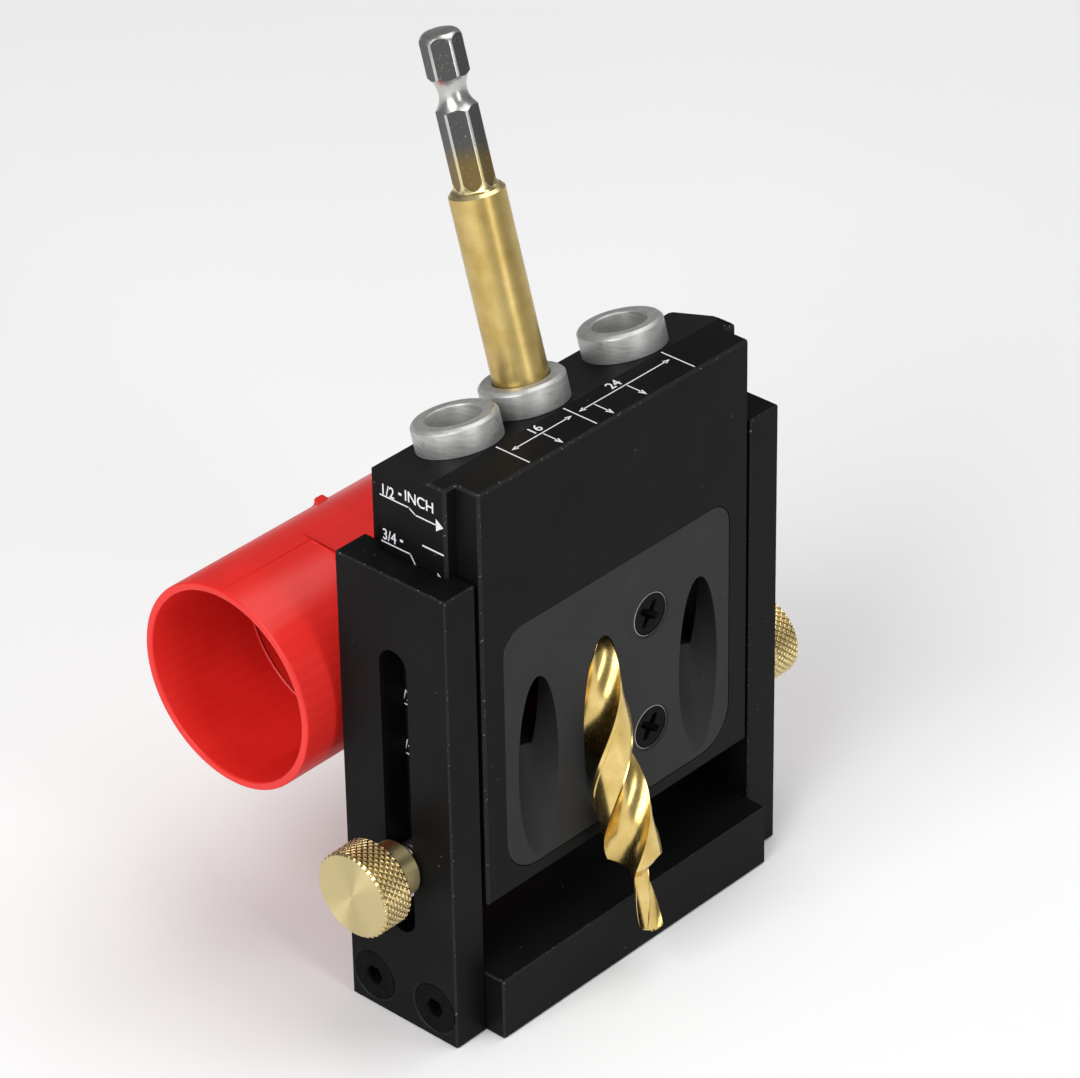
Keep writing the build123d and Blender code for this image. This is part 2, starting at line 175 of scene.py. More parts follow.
class Shader:
    """One material's node tree, with short calls for the nodes that the finishes share."""

    def __init__(self, name):
        self.material = bpy.data.materials.new(name)
        self.material.use_nodes = True
        self.tree = self.material.node_tree
        self.surface = self.tree.nodes["Principled BSDF"]
        place = self.tree.nodes.new("ShaderNodeTexCoord").outputs["Object"]
        self.millimetres = self.vector("MULTIPLY", place, (1 / MM, 1 / MM, 1 / MM)).outputs[0]

    def put(self, socket, value):
        """Link a node's output to a socket, or set the socket to a plain value."""
        if isinstance(value, bpy.types.NodeSocket):
            self.tree.links.new(value, socket)
        else:
            socket.default_value = value

    def set(self, **values):
        """Set the surface's sockets by name, with underscores for spaces."""
        for name, value in values.items():
            self.put(self.surface.inputs[name.replace("_", " ")], value)

    def vector(self, operation, *values):
        """A vector maths node with these inputs."""
        node = self.tree.nodes.new("ShaderNodeVectorMath")
        node.operation = operation
        for socket, value in zip(node.inputs, values):
            self.put(socket, value)
        return node

    def maths(self, operation, first, second=0.0):
        node = self.tree.nodes.new("ShaderNodeMath")
        node.operation = operation
        self.put(node.inputs[0], first)
        self.put(node.inputs[1], second)
        return node.outputs[0]

    def noise(self, per_mm, detail=3.0, stretch=None):
        """Smooth noise between 0 and 1, with this many features to the millimetre."""
        node = self.tree.nodes.new("ShaderNodeTexNoise")
        node.inputs["Scale"].default_value = per_mm
        node.inputs["Detail"].default_value = detail
        place = self.millimetres
        if stretch:
            place = self.vector("MULTIPLY", place, stretch).outputs[0]
        self.put(node.inputs["Vector"], place)
        return node.outputs["Fac"]

    def rings(self, radius, per_mm, detail=3.0):
        """Noise that changes with the radius alone."""
        node = self.tree.nodes.new("ShaderNodeTexNoise")
        node.noise_dimensions = "1D"
        node.inputs["Scale"].default_value = per_mm
        node.inputs["Detail"].default_value = detail
        self.put(node.inputs["W"], radius)
        return node.outputs["Fac"]

    def dots(self, per_mm):
        """Distance to the nearest of many scattered points."""
        node = self.tree.nodes.new("ShaderNodeTexVoronoi")
        node.inputs["Scale"].default_value = per_mm
        self.put(node.inputs["Vector"], self.millimetres)
        return node.outputs["Distance"]

    def ramp(self, value, low, high, start=0.0, end=1.0):
        """Map value from low..high to start..end, held at both ends."""
        node = self.tree.nodes.new("ShaderNodeMapRange")
        self.put(node.inputs["Value"], value)
        limits = {"From Min": low, "From Max": high, "To Min": start, "To Max": end}
        for name, limit in limits.items():
            node.inputs[name].default_value = limit
        return node.outputs["Result"]

    def mix(self, factor, first, second):
        """Blend two colours."""
        node = self.tree.nodes.new("ShaderNodeMix")
        node.data_type = "RGBA"
        self.put(node.inputs["Factor"], factor)
        for socket, colour in ((node.inputs[6], first), (node.inputs[7], second)):
            self.put(socket, (*colour, 1.0) if isinstance(colour, tuple) else colour)
        return node.outputs[2]

    def cloud(self, noise, first, second, low=0.3, high=0.7):
        """Two tones of one colour, in soft patches."""
        return self.mix(self.ramp(noise, low, high), first, second)

    def bump(self, height, depth_mm, strength=1.0, under=None):
        node = self.tree.nodes.new("ShaderNodeBump")
        node.inputs["Strength"].default_value = strength
        node.inputs["Distance"].default_value = depth_mm * MM
        self.put(node.inputs["Height"], height)
        if under is not None:
            self.put(node.inputs["Normal"], under)
        return node.outputs["Normal"]

    def chamfers(self):
        """1 on faces that lean well away from the three main directions, 0 on the rest."""
        normal = self.tree.nodes.new("ShaderNodeNewGeometry").outputs["True Normal"]
        parts = self.tree.nodes.new("ShaderNodeSeparateXYZ")
        self.put(parts.inputs[0], self.vector("ABSOLUTE", normal).outputs[0])
        x, y, z = parts.outputs
        largest = self.maths("MAXIMUM", self.maths("MAXIMUM", x, y), z)
        return self.ramp(largest, 0.93, 0.80)

    def along(self, direction):
        """Distance in millimetres along a direction."""
        return self.vector("DOT_PRODUCT", self.millimetres, direction).outputs["Value"]


def black_anodised():
    """Satin black coat with a painted highlight along the chamfers, bare nicks and specks of dust."""
    s = Shader("black_anodised")
    dark, light = (0.0044, 0.0044, 0.0046), (0.0062, 0.0062, 0.0064)
    chamfer_highlight, metal = (0.030, 0.030, 0.030), (0.33, 0.33, 0.32)
    chamfers, grain = s.chamfers(), s.noise(5.0, 4.0)
    nicks = s.maths("MULTIPLY", chamfers, s.ramp(s.noise(2.2, 5.0), 0.63, 0.74, 0.0, 0.6))
    patches = s.ramp(s.noise(0.5), 0.55, 0.6)
    specks = s.maths("MULTIPLY", s.ramp(s.dots(0.42), 0.075, 0.045), patches)
    bare = s.maths("MAXIMUM", nicks, s.maths("MULTIPLY", specks, 0.35))
    coat = s.cloud(s.noise(0.09, 2.0), dark, light)
    # The chamfers' lighter grey is a painted highlight: the thin light line that the edges catch.
    highlighted_coat = s.mix(s.maths("MULTIPLY", chamfers, 0.5), coat, chamfer_highlight)
    s.set(Base_Color=s.mix(bare, highlighted_coat, metal),
          Roughness=s.ramp(grain, 0.25, 0.75, 0.36, 0.50),
          Normal=s.bump(grain, 0.012, 0.55),
          Specular_IOR_Level=0.06)
    return s.material


def insert_plastic():
    """Matt dark grey moulding with upright scuffs."""
    s = Shader("insert_plastic")
    dark, light, chalky = (0.0155, 0.0160, 0.0168), (0.0200, 0.0200, 0.0208), (0.16, 0.16, 0.16)
    grain = s.noise(4.0, 5.0)
    scuff = s.ramp(s.noise(1.4, 6.0, (1.0, 1.0, 0.25)), 0.66, 0.78)
    colour = s.cloud(s.noise(0.12, 3.0), dark, light)
    s.set(Base_Color=s.mix(s.maths("MULTIPLY", scuff, 0.22), colour, chalky),
          Roughness=s.ramp(grain, 0.2, 0.8, 0.50, 0.64),
          Normal=s.bump(grain, 0.015, 0.5),
          Specular_IOR_Level=0.22)
    return s.material


def red_plastic():
    """Smooth moulding with a slow ripple and a fine skin."""
    s = Shader("red_plastic")
    dark, light = (0.66, 0.016, 0.012), (0.74, 0.022, 0.017)
    ripple, fine = s.noise(0.35, 3.0), s.noise(3.0, 3.0)
    s.set(Base_Color=s.cloud(s.noise(0.06, 2.0), dark, light),
          Roughness=s.ramp(fine, 0.2, 0.8, 0.30, 0.40),
          Normal=s.bump(fine, 0.006, 0.35, s.bump(ripple, 0.05, 0.35)),
          Specular_IOR_Level=0.35)
    return s.material


def turned_steel():
    """Grey hardened steel with fine turning rings square to the drilling axis."""
    s = Shader("bushing_steel")
    dark, light, stained = (0.43, 0.43, 0.42), (0.56, 0.56, 0.55), (0.20, 0.15, 0.11)
    rings, fine = s.noise(2.6, 3.0, (0.12, 0.12, 1.0)), s.noise(7.0, 4.0)
    stain = s.ramp(s.noise(0.55, 5.0), 0.60, 0.72)
    s.set(Base_Color=s.mix(s.maths("MULTIPLY", stain, 0.30), s.cloud(rings, dark, light), stained),
          Metallic=0.7,
          Roughness=s.ramp(fine, 0.2, 0.8, 0.40, 0.52),
          Normal=s.bump(rings, 0.010, 0.5, s.bump(fine, 0.006, 0.35)))
    return s.material


def gold_coating(name, bright, gloss):
    """Titanium nitride over ground steel."""
    s = Shader(name)
    # bright scales the coating's colour; below 1.0 it is painted shade.
    dark, light = (tuple(bright * c for c in tone) for tone in ((0.64, 0.45, 0.135), (0.82, 0.62, 0.245)))
    grind = s.noise(3.0, 4.0, (1.0, 1.0, 0.18))
    s.set(Base_Color=s.cloud(s.noise(0.22, 3.0), dark, light, 0.32, 0.68),
          Metallic=1.0,
          Roughness=s.ramp(grind, 0.25, 0.75, *gloss),
          Normal=s.bump(grind, 0.006, 0.4))
    return s.material


def hexagon_steel(tint_low, tint_high, up):
    """Dark steel flats, scuffed, with the coating's colour fading in towards the shank."""
    s = Shader("hexagon_steel")
    dark, coated, scuffed = (0.100, 0.099, 0.098), (0.220, 0.150, 0.048), (0.34, 0.32, 0.28)
    tint = s.ramp(s.along(up), tint_low, tint_high, 0.85, 0.0)
    nick = s.ramp(s.noise(2.2, 6.0), 0.61, 0.70)
    s.set(Base_Color=s.mix(s.maths("MULTIPLY", nick, 0.55), s.mix(tint, dark, coated), scuffed),
          Metallic=1.0,
          Roughness=s.ramp(s.noise(3.5, 4.0), 0.3, 0.7, 0.34, 0.48),
          Normal=s.bump(nick, 0.02, 0.5))
    return s.material


def bright_steel(tint_low, tint_high, up):
    """Rubbed corners, dome and neck of the hexagonal end."""
    s = Shader("bright_steel")
    bare, coated = (0.52, 0.515, 0.50), (0.74, 0.60, 0.24)
    tint = s.ramp(s.along(up), tint_low, tint_high, 0.75, 0.0)
    rings = s.noise(5.0, 3.0, (0.1, 0.1, 1.0))
    s.set(Base_Color=s.mix(tint, bare, coated),
          Metallic=1.0,
          Roughness=s.ramp(rings, 0.3, 0.7, 0.26, 0.38),
          Normal=s.bump(rings, 0.006, 0.4))
    return s.material


def brass():
    """Turned brass with a few dull spots."""
    s = Shader("turned_brass")
    dark, light, dull = (0.60, 0.47, 0.22), (0.70, 0.56, 0.29), (0.42, 0.30, 0.13)
    fine = s.noise(6.0, 4.0)
    spot = s.ramp(s.noise(1.1, 5.0), 0.66, 0.76)
    colour = s.cloud(s.noise(0.3, 3.0), dark, light)
    s.set(Base_Color=s.mix(s.maths("MULTIPLY", spot, 0.25), colour, dull),
          Metallic=1.0,
          Roughness=s.ramp(fine, 0.2, 0.8, 0.22, 0.33),
          Normal=s.bump(fine, 0.005, 0.35))
    return s.material


def spun_brass(axis_y, axis_z):
    """The knob's face: brass with turning rings about the knob's own axis."""
    s = Shader("spun_brass")
    dark, light = (0.60, 0.50, 0.245), (0.71, 0.60, 0.325)
    centred = s.vector("SUBTRACT", s.millimetres, (0.0, axis_y, axis_z)).outputs[0]
    flat = s.vector("MULTIPLY", centred, (0.0, 1.0, 1.0)).outputs[0]
    rings = s.rings(s.vector("LENGTH", flat).outputs["Value"], 9.0)
    tangent = s.tree.nodes.new("ShaderNodeTangent")
    tangent.direction_type = "RADIAL"
    tangent.axis = "X"
    s.set(Base_Color=s.cloud(rings, dark, light),
          Metallic=1.0,
          Roughness=s.ramp(rings, 0.3, 0.7, 0.36, 0.46),
          Normal=s.bump(rings, 0.008, 0.5),
          Tangent=tangent.outputs[0],
          Anisotropic=0.80,
          Anisotropic_Rotation=0.25)
    return s.material


def thread_steel():
    """Plain machined steel."""
    s = Shader("thread_steel")
    fine = s.noise(5.0, 4.0)
    s.set(Base_Color=s.mix(fine, (0.30, 0.29, 0.27), (0.50, 0.49, 0.46)),
          Metallic=1.0,
          Roughness=s.ramp(fine, 0.2, 0.8, 0.26, 0.42),
          Normal=s.bump(fine, 0.006, 0.4))
    return s.material


def black_oxide():
    """Black fastener steel, a little worn."""
    s = Shader("black_oxide")
    dark, light, rubbed = (0.0026, 0.0026, 0.0026), (0.0044, 0.0043, 0.0042), (0.05, 0.047, 0.042)
    fine = s.noise(4.0, 5.0)
    worn = s.maths("MULTIPLY", s.ramp(s.noise(1.8, 5.0), 0.60, 0.72), 0.25)
    s.set(Base_Color=s.mix(worn, s.cloud(s.noise(0.4, 3.0), dark, light), rubbed),
          Roughness=s.ramp(fine, 0.2, 0.8, 0.24, 0.36),
          Normal=s.bump(fine, 0.010, 0.45),
          Specular_IOR_Level=0.03)
    return s.material


def white_ink():
    """Printed marks, slightly uneven."""
    s = Shader("white_ink")
    fine = s.noise(6.0, 4.0)
    s.set(Base_Color=s.cloud(fine, (0.62, 0.63, 0.66), (0.80, 0.81, 0.84), 0.35, 0.65),
          Roughness=s.ramp(fine, 0.2, 0.8, 0.45, 0.60),
          Normal=s.bump(fine, 0.004, 0.3))
    return s.material


# ---------------------------------------------------------------- mesh helpers

def clamp(value, low, high):
    return max(low, min(high, value))


def blend(start, end, share):
    return start + (end - start) * share


def circle(count):
    """Evenly spaced angles round a circle."""
    return [2 * math.pi * i / count for i in range(count)]


def mount(name):
    """One of the record's mounts."""
    return next(m for m in frame["record"]["mounts"] if m["name"] == name)


def add_object(name, data):
    """An object with this data, in the scene."""
    thing = bpy.data.objects.new(name, data)
    bpy.context.scene.collection.objects.link(thing)
    return thing


class Lathe:
    """Points by radius, angle and distance along an axis, in millimetres."""

    def __init__(self, origin, axis, first):
        self.origin = Vector(origin)
        self.axis = Vector(axis).normalized()
        self.first = Vector(first).normalized()
        self.second = self.axis.cross(self.first)

    def point(self, radius, angle, distance):
        out = self.first * math.cos(angle) + self.second * math.sin(angle)
        return self.origin + (self.axis * distance + out * radius) * MM


def skin(rings):
    """Vertices and faces of a closed skin over rings with the same number of points."""
    count = len(rings[0])
    vertices = [p for ring in rings for p in ring]
    faces = []
    for row in range(len(rings) - 1):
        for i in range(count):
            a, b = row * count + i, row * count + (i + 1) % count
            faces.append((a, b, b + count, a + count))
    last = len(vertices) - count
    for ring, start in ((rings[0], 0), (rings[-1], last)):
        middle = len(vertices)
        vertices.append(sum(ring, Vector()) / count)
        faces += [(middle, start + i, start + (i + 1) % count) for i in range(count)]
    return vertices, faces


def smooth(mesh, sharp):
    """Remove collapsed faces, turn the rest outwards and keep edges over the sharp angle crisp."""
    shape = bmesh.new()
    shape.from_mesh(mesh)
    bmesh.ops.remove_doubles(shape, verts=shape.verts, dist=COLLAPSED * MM)
    bmesh.ops.dissolve_degenerate(shape, edges=shape.edges, dist=COLLAPSED * MM)
    bmesh.ops.recalc_face_normals(shape, faces=shape.faces)
    limit = math.radians(sharp)
    for edge in shape.edges:
        edge.smooth = edge.calc_face_angle(0.0) < limit
    for face in shape.faces:
        face.smooth = True
    shape.to_mesh(mesh)
    shape.free()


def build(name, skinned, materials, body, replaces=(), material_of=None, sharp=32):
    """A mesh piece that rides on a body, from its vertices and faces."""
    vertices, faces = skinned
    mesh = bpy.data.meshes.new(name)
    mesh.from_pydata(vertices, [], faces)
    for material in materials:
        mesh.materials.append(material)
    if material_of:
        for i, polygon in enumerate(mesh.polygons):
            polygon.material_index = material_of(i)
    smooth(mesh, sharp)
    piece = add_object(name, mesh)
    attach(piece, body)
    if replaces:
        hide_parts(*replaces)


# ---------------------------------------------------------------- the drill

FLUTE_C = (SHANK_R**2 - WEB_R**2) / (2 * (SHANK_R * math.cos(FLUTE_HALF_ANGLE) - WEB_R))
FLUTE_R = FLUTE_C - WEB_R
FULL_LIFT = SHANK_R - WEB_R + LIFT_SPARE


def drill_lathe():
    """Axis frame of the middle bore, from where it crosses the working face."""
    bore = mount("right_bushing_bore")
    axis = Vector(bore["axis"]).normalized()
    start = Vector(bore["pos_m"])
    start -= axis * (start.y / axis.y)
    low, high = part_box("step_drill")
    start.x = (low.x + high.x) / 2
    return Lathe(start, axis, (1, 0, 0))


def flute_reach(radius, lift):
    """Half the flute circle's own angle inside a round blank of this radius."""
    centre = FLUTE_C + lift
    cosine = (centre**2 + FLUTE_R**2 - radius**2) / (2 * centre * FLUTE_R)
    return math.acos(cosine) if cosine < 1 else 0.0


def flute_points(heel_r, lead_r, lift):
    """Radius and angle along one flute, from its heel side to its lead side."""
    centre = FLUTE_C + lift
    heel, lead = flute_reach(heel_r, lift), flute_reach(lead_r, lift)
    points = []
    for step in range(FLUTE_STEPS + 1):
        share = step / FLUTE_STEPS
        turn = blend(-heel, lead, share)
        x, y = centre - FLUTE_R * math.cos(turn), FLUTE_R * math.sin(turn)
        radius = min(math.hypot(x, y), max(blend(heel_r, lead_r, share), abs(x)))
        if heel == 0.0 and lead == 0.0:
            radius, y = blend(heel_r, lead_r, share), 0.0
        points.append((radius, math.atan2(y, x)))
    return points


def drill_section(lead_r, heel_r, lift, clearance):
    """Whole outline: two flutes and two lands, each land with a raised margin at its lead."""
    flute = flute_points(heel_r, lead_r, lift)
    start, end = flute[-1][1], math.pi + flute[0][1]
    margin = MARGIN_ANGLE / (end - start)
    step_end = margin + MARGIN_STEP
    shares = [margin / 2, margin, step_end]
    shares += [blend(step_end, 1.0, i / LAND_STEPS) for i in range(1, LAND_STEPS)]
    land = []
    for share in shares:
        drop = clearance if share > margin else 0.0
        land.append((blend(lead_r, heel_r, share) - drop, blend(start, end, share)))
    half = flute + land
    return half + [(r, a + math.pi) for r, a in half]


def point_stations():
    """The pilot's point, up to the pilot's full radius."""
    length = PILOT_R / POINT_SLOPE + POINT_RELIEF
    stations = []
    for i in range(POINT_STEPS + 1):
        along = length * i / POINT_STEPS
        lead = clamp(along * POINT_SLOPE, TIP_R, PILOT_R)
        heel = clamp((along - POINT_RELIEF) * POINT_SLOPE, TIP_R, PILOT_R)
        stations.append((POINT_S + along, lead, heel, 0.0, PILOT_CLEARANCE * i / POINT_STEPS))
    return stations


def shoulder_stations():
    """The shoulder, from the pilot's radius to the body's."""
    length = (SHANK_R - PILOT_R) / SHOULDER_SLOPE + SHOULDER_RELIEF
    stations = []
    for i in range(SHOULDER_STEPS + 1):
        along = length * i / SHOULDER_STEPS
        lead = clamp(PILOT_R + along * SHOULDER_SLOPE, PILOT_R, SHANK_R)
        heel = clamp(PILOT_R + (along - SHOULDER_RELIEF) * SHOULDER_SLOPE, PILOT_R, SHANK_R)
        clearance = blend(PILOT_CLEARANCE, BODY_CLEARANCE, i / SHOULDER_STEPS)
        stations.append((SHOULDER_S + along, lead, heel, 0.0, clearance))
    return stations


def straight_stations(start, end, spacing, radius, clearance):
    """Evenly spaced stations of one radius, after start and short of end."""
    stations = []
    s = start
    while s < end - SPACING_LEFT:
        s += spacing
        stations.append((s, radius, radius, 0.0, clearance))
    return stations


def run_out_stations():
    """Flutes lifting out of the blank, then the plain shank with its chamfered rim."""
    stations = []
    for i in range(RUN_OUT_STEPS + 1):
        share = i / RUN_OUT_STEPS
        s = blend(RUN_OUT_START, RUN_OUT_END, share)
        stations.append((s, SHANK_R, SHANK_R, FULL_LIFT * share**2, BODY_CLEARANCE * (1 - share)))
    rim = SHANK_R - SHANK_EDGE
    stations.append((RUN_OUT_END + PLAIN_START, SHANK_R, SHANK_R, FULL_LIFT, 0.0))
    stations.append((SHANK_TOP, SHANK_R, SHANK_R, FULL_LIFT, 0.0))
    stations.append((SHANK_TOP + SHANK_EDGE, rim, rim, FULL_LIFT, 0.0))
    return stations


def drill_stations():
    """Distance along the drill, the blank's radius at lead and heel, the lift and clearance."""
    point, shoulder = point_stations(), shoulder_stations()
    pilot = straight_stations(point[-1][0], SHOULDER_S, PILOT_SPACING, PILOT_R, PILOT_CLEARANCE)
    body = straight_stations(shoulder[-1][0], RUN_OUT_START, BODY_SPACING, SHANK_R, BODY_CLEARANCE)
    return point + pilot + shoulder + body + run_out_stations()


def fluted_drill(lathe, coating, shaded_shank_coating, rubbed):
    """Drill body. The plain shank is rougher than the flutes and its coating's colour is darkened as
    painted shade, and its rim is rubbed bright.
    """
    stations = drill_stations()
    rings = []
    for s, *shape in stations:
        turn = LEAD_ANGLE - FLUTE_HALF_ANGLE + 2 * math.pi * min(s, RUN_OUT_END) / FLUTE_PITCH
        rings.append([lathe.point(r, a + turn, s) for r, a in drill_section(*shape)])
    count = len(rings[0])
    shank_band = next(i for i, station in enumerate(stations) if station[0] >= RUN_OUT_START)

    def material_of(i):
        band = i // count
        return 2 if band >= len(rings) - 2 else int(band >= shank_band)

    build("drill_body", skin(rings), [coating, shaded_shank_coating, rubbed], "drill",
          ["step_drill"], material_of)


def hexagon_outline():
    """Angles and radii round the hexagon, and which columns are its rounded corners."""
    side = 2 * math.pi / HEX_FACES
    edge = math.acos(HEX_AF / 2 / HEX_CORNER_R)
    outline = []
    for face in range(HEX_FACES):
        for i in range(FLAT_STEPS + 1):
            angle = blend(-edge, edge, i / FLAT_STEPS)
            outline.append((angle + face * side, HEX_AF / 2 / math.cos(angle), i == FLAT_STEPS))
        for i in range(1, CORNER_STEPS):
            angle = blend(edge, side - edge, i / CORNER_STEPS)
            outline.append((angle + face * side, HEX_CORNER_R, True))
    return zip(*outline)


def foot_point(radius, share):
    """Radius and place on the flare where the hexagon meets the shank."""
    lift = FOOT_LIFT * (1 - math.sqrt(1 - (1 - share)**2))
    outwards = (radius - HEX_AF / 2) / (HEX_CORNER_R - HEX_AF / 2)
    return radius + lift, SHANK_TOP + SHANK_EDGE + (FOOT_LOW + FOOT_RISE * outwards) * share


def neck_point(radius, share):
    """Radius and place in the groove for the chuck's balls, as far each way as the wall reaches."""
    depth = HEX_CORNER_R - NECK_R
    bow = (NECK_HALF**2 + depth**2) / (2 * depth)
    reach = math.sqrt(max(bow**2 - (NECK_R + bow - radius)**2, 0.0))
    across = share * reach
    wall = NECK_R + bow - math.sqrt(max(bow**2 - across**2, 0.0))
    return min(radius, wall), NECK_S + across


def dome_point(radius, share):
    """Radius and place on the dome, from where its wall leaves this radius."""
    span = DOME_FULL_R - DOME_TOP_R
    foot = math.sqrt(max(1 - ((radius - DOME_TOP_R) / span)**2, 0.0))
    height = blend(foot, 1.0, share)
    wall = DOME_TOP_R + span * math.sqrt(max(1 - height**2, 0.0))
    return min(wall, radius), blend(DOME_START, HEX_TOP, height)


def hexagon_end(lathe, flats, rubbed):
    """Hexagon with the groove and the dome cut by round walls, so that its flats end in arcs."""
    angles, radii, corner = hexagon_outline()
    parts = ((foot_point, FOOT_STEPS, 0.0), (neck_point, NECK_STEPS, -1.0), (dome_point, DOME_STEPS, 0.0))
    rings, flat_bands = [], []
    for place, steps, start in parts:
        for step in range(steps + 1):
            pairs = [place(radius, blend(start, 1.0, step / steps)) for radius in radii]
            rings.append([lathe.point(r, a + HEX_TURN, s) for a, (r, s) in zip(angles, pairs)])
        flat_bands.append(len(rings) - 1)
    flat_bands.pop()

    def material_of(i):
        band, column = divmod(i, len(angles))
        return int(corner[column]) if band in flat_bands else 1

    build("drill_hexagon", skin(rings), [flats, rubbed], "drill",
          ["step_drill"], material_of, sharp=24)


# ---------------------------------------------------------------- knobs, studs and screws

def thumb_lathe(node, side):
    """Axis frame of a thumb screw's node, its near and far ends, and its radius."""
    low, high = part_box(node)
    middle = (low + high) / 2
    lathe = Lathe((0, middle.y, middle.z), (-1 if side == "left" else 1, 0, 0), (0, 1, 0))
    near, far = sorted((abs(low.x) / MM, abs(high.x) / MM))
    return lathe, near, far, (high.y - low.y) / 2 / MM


def knurl(around, across):
    """Depth share of a diamond knurl with rounded cells: 1 along two crossing sets of grooves."""
    phases = (around + across, around - across)
    return max(abs(2 * (phase % 1.0) - 1) for phase in phases)**3


def knob_profile(near, far, radius):
    """A knob's rings from bore to face: radius, place, whether spun, and the knurl's row."""
    back = near + COLLAR_LENGTH
    rows = KNURL_ROWS * KNURL_SAMPLES
    profile = [(STUD_BORE_R, near + STUD_SEAT, False, None),
               (STUD_BORE_R, near, False, None),
               (COLLAR_R - COLLAR_EDGE, near, True, None),
               (COLLAR_R, near + COLLAR_EDGE, True, None),
               (COLLAR_R, back, True, None),
               (radius - KNOB_EDGE, back, False, None)]
    for row in range(rows + 1):
        place = blend(back + KNOB_EDGE, far - KNOB_EDGE, row / rows)
        profile.append((radius, place, False, row))
    profile += [(radius - KNOB_EDGE, far, False, None),
                (radius - KNOB_EDGE - FACE_RIM, far, True, None),
                (FACE_MIDDLE_R, far, True, None)]
    return profile


def knob(side, sides_brass, face_brass):
    """Knurled brass knob with a plain collar and a blind bore for its stud."""
    node = f"{side}_thumb_knob"
    lathe, near, far, radius = thumb_lathe(node, side)
    profile = knob_profile(near, far, radius)
    count = KNURL_COUNT * KNURL_SAMPLES
    rings = []
    for r, place, spun, row in profile:
        cuts = [0.0] * count
        if row is not None:
            cuts = [KNURL_DEPTH * knurl(i / KNURL_SAMPLES, row / KNURL_SAMPLES) for i in range(count)]
        rings.append([lathe.point(r - cut, a, place) for a, cut in zip(circle(count), cuts)])

    def material_of(i):
        outer = i // count + 1
        return int(outer < len(profile) and profile[outer][2])

    build(f"{side}_knob", skin(rings), [sides_brass, face_brass], f"{side}_knob",
          [node], material_of, sharp=38)


def stud(side, steel):
    """Stud with a rolled thread along its whole length and a small point."""
    node = f"{side}_thumb_stud"
    lathe, near, far, radius = thumb_lathe(node, side)
    hand = 1 if side == "left" else -1
    rows = int((far - near) / THREAD_PITCH * THREAD_ROWS)
    rings = []
    for row in range(rows + 1):
        x = blend(near, far, row / rows)
        crest = min(radius, radius - STUD_TAPER + (x - near))
        points = []
        for i, angle in enumerate(circle(THREAD_SIDES)):
            phase = (x / THREAD_PITCH + hand * i / THREAD_SIDES) % 1.0
            groove = clamp(GROOVE_WIDTH - abs(2 * phase - 1) * GROOVE_SLOPE, 0.0, 1.0)
            points.append(lathe.point(max(crest - THREAD_DEPTH * groove, STUD_CORE_R), angle, x))
        rings.append(points)
    build(f"{side}_stud", skin(rings), [steel], f"{side}_stud", [node], sharp=60)


def recess_depth(x, y):
    """Depth of a cross recess at a point on the screw's head."""
    depth = RECESS_DEPTH * clamp((RECESS_CORE_R - math.hypot(x, y)) / RECESS_CORE_WALL, 0.0, 1.0)
    for along, across in ((abs(x), abs(y)), (abs(y), abs(x))):
        outwards = along / RECESS_REACH
        width = blend(RECESS_WIDTH, RECESS_END_WIDTH, outwards) / 2
        wall = clamp((width - across) / RECESS_WALL, 0.0, 1.0)
        end = clamp((RECESS_REACH - along) / RECESS_WALL, 0.0, 1.0)
        floor = RECESS_DEPTH * clamp(RECESS_FLOOR - outwards, 0.0, 1.0)
        depth = max(depth, wall * end * floor)
    return depth


def insert_screw(place, oxide, rubbed):
    """Countersunk screw with a cross recess and a bare-steel rim band as a painted highlight, its head
    just under the face.
    """
    node = f"{place}_insert_screw"
    low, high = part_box(node)
    middle = (low + high) / 2
    lathe = Lathe((middle.x, low.y, middle.z), (0, 1, 0), (1, 0, 0))
    rim = SCREW_HEAD_R - HEAD_RIM
    rings = []
    for ring in range(1, HEAD_RINGS + 1):
        radius = rim * ring / HEAD_RINGS
        points = []
        for angle in circle(HEAD_SIDES):
            turned = angle - RECESS_TURN
            depth = recess_depth(radius * math.cos(turned), radius * math.sin(turned))
            points.append(lathe.point(radius, angle, max(depth, HEAD_DISH)))
        rings.append(points)
    outline = ((rim + HEAD_DISH, 0.0), (SCREW_HEAD_R - HEAD_DISH, HEAD_LIP), (SCREW_HEAD_R, HEAD_LAND),
               (SCREW_R, HEAD_LAND + SCREW_HEAD_R - SCREW_R),
               (SCREW_R, SCREW_LENGTH - SCREW_TIP), (SCREW_R - SCREW_TIP, SCREW_LENGTH))
    for radius, depth in outline:
        rings.append([lathe.point(radius, angle, depth) for angle in circle(HEAD_SIDES)])
    # The rim band's bare steel is a painted highlight on the black head.
    build(f"{place}_cross_screw", skin(rings), [oxide, rubbed], "guide",
          [node], lambda i: int(i // HEAD_SIDES in RIM_GLINT_BANDS), sharp=28)


# ---------------------------------------------------------------- printed marks

class Face:
    """A flat printed face: positions by two in-plane distances in millimetres."""

    def __init__(self, origin, across, up):
        self.origin, self.across, self.up = Vector(origin), Vector(across), Vector(up)
        self.out = self.across.cross(self.up)

    def point(self, x, y, height=0.0):
        return self.origin + (self.across * x + self.up * y + self.out * height) * MM

    def matrix(self, x, y):
        turn = Matrix((self.across, self.up, self.out)).transposed().to_4x4()
        return Matrix.Translation(self.point(x, y, INK / 2)) @ turn


def prism(face, corners, height=INK):
    """Thin raised patch over a flat outline."""
    count = len(corners)
    vertices = [face.point(x, y) for x, y in corners]
    vertices += [face.point(x, y, height) for x, y in corners]
    faces = [tuple(range(count - 1, -1, -1)), tuple(range(count, 2 * count))]
    faces += [(i, (i + 1) % count, (i + 1) % count + count, i + count) for i in range(count)]
    return vertices, faces


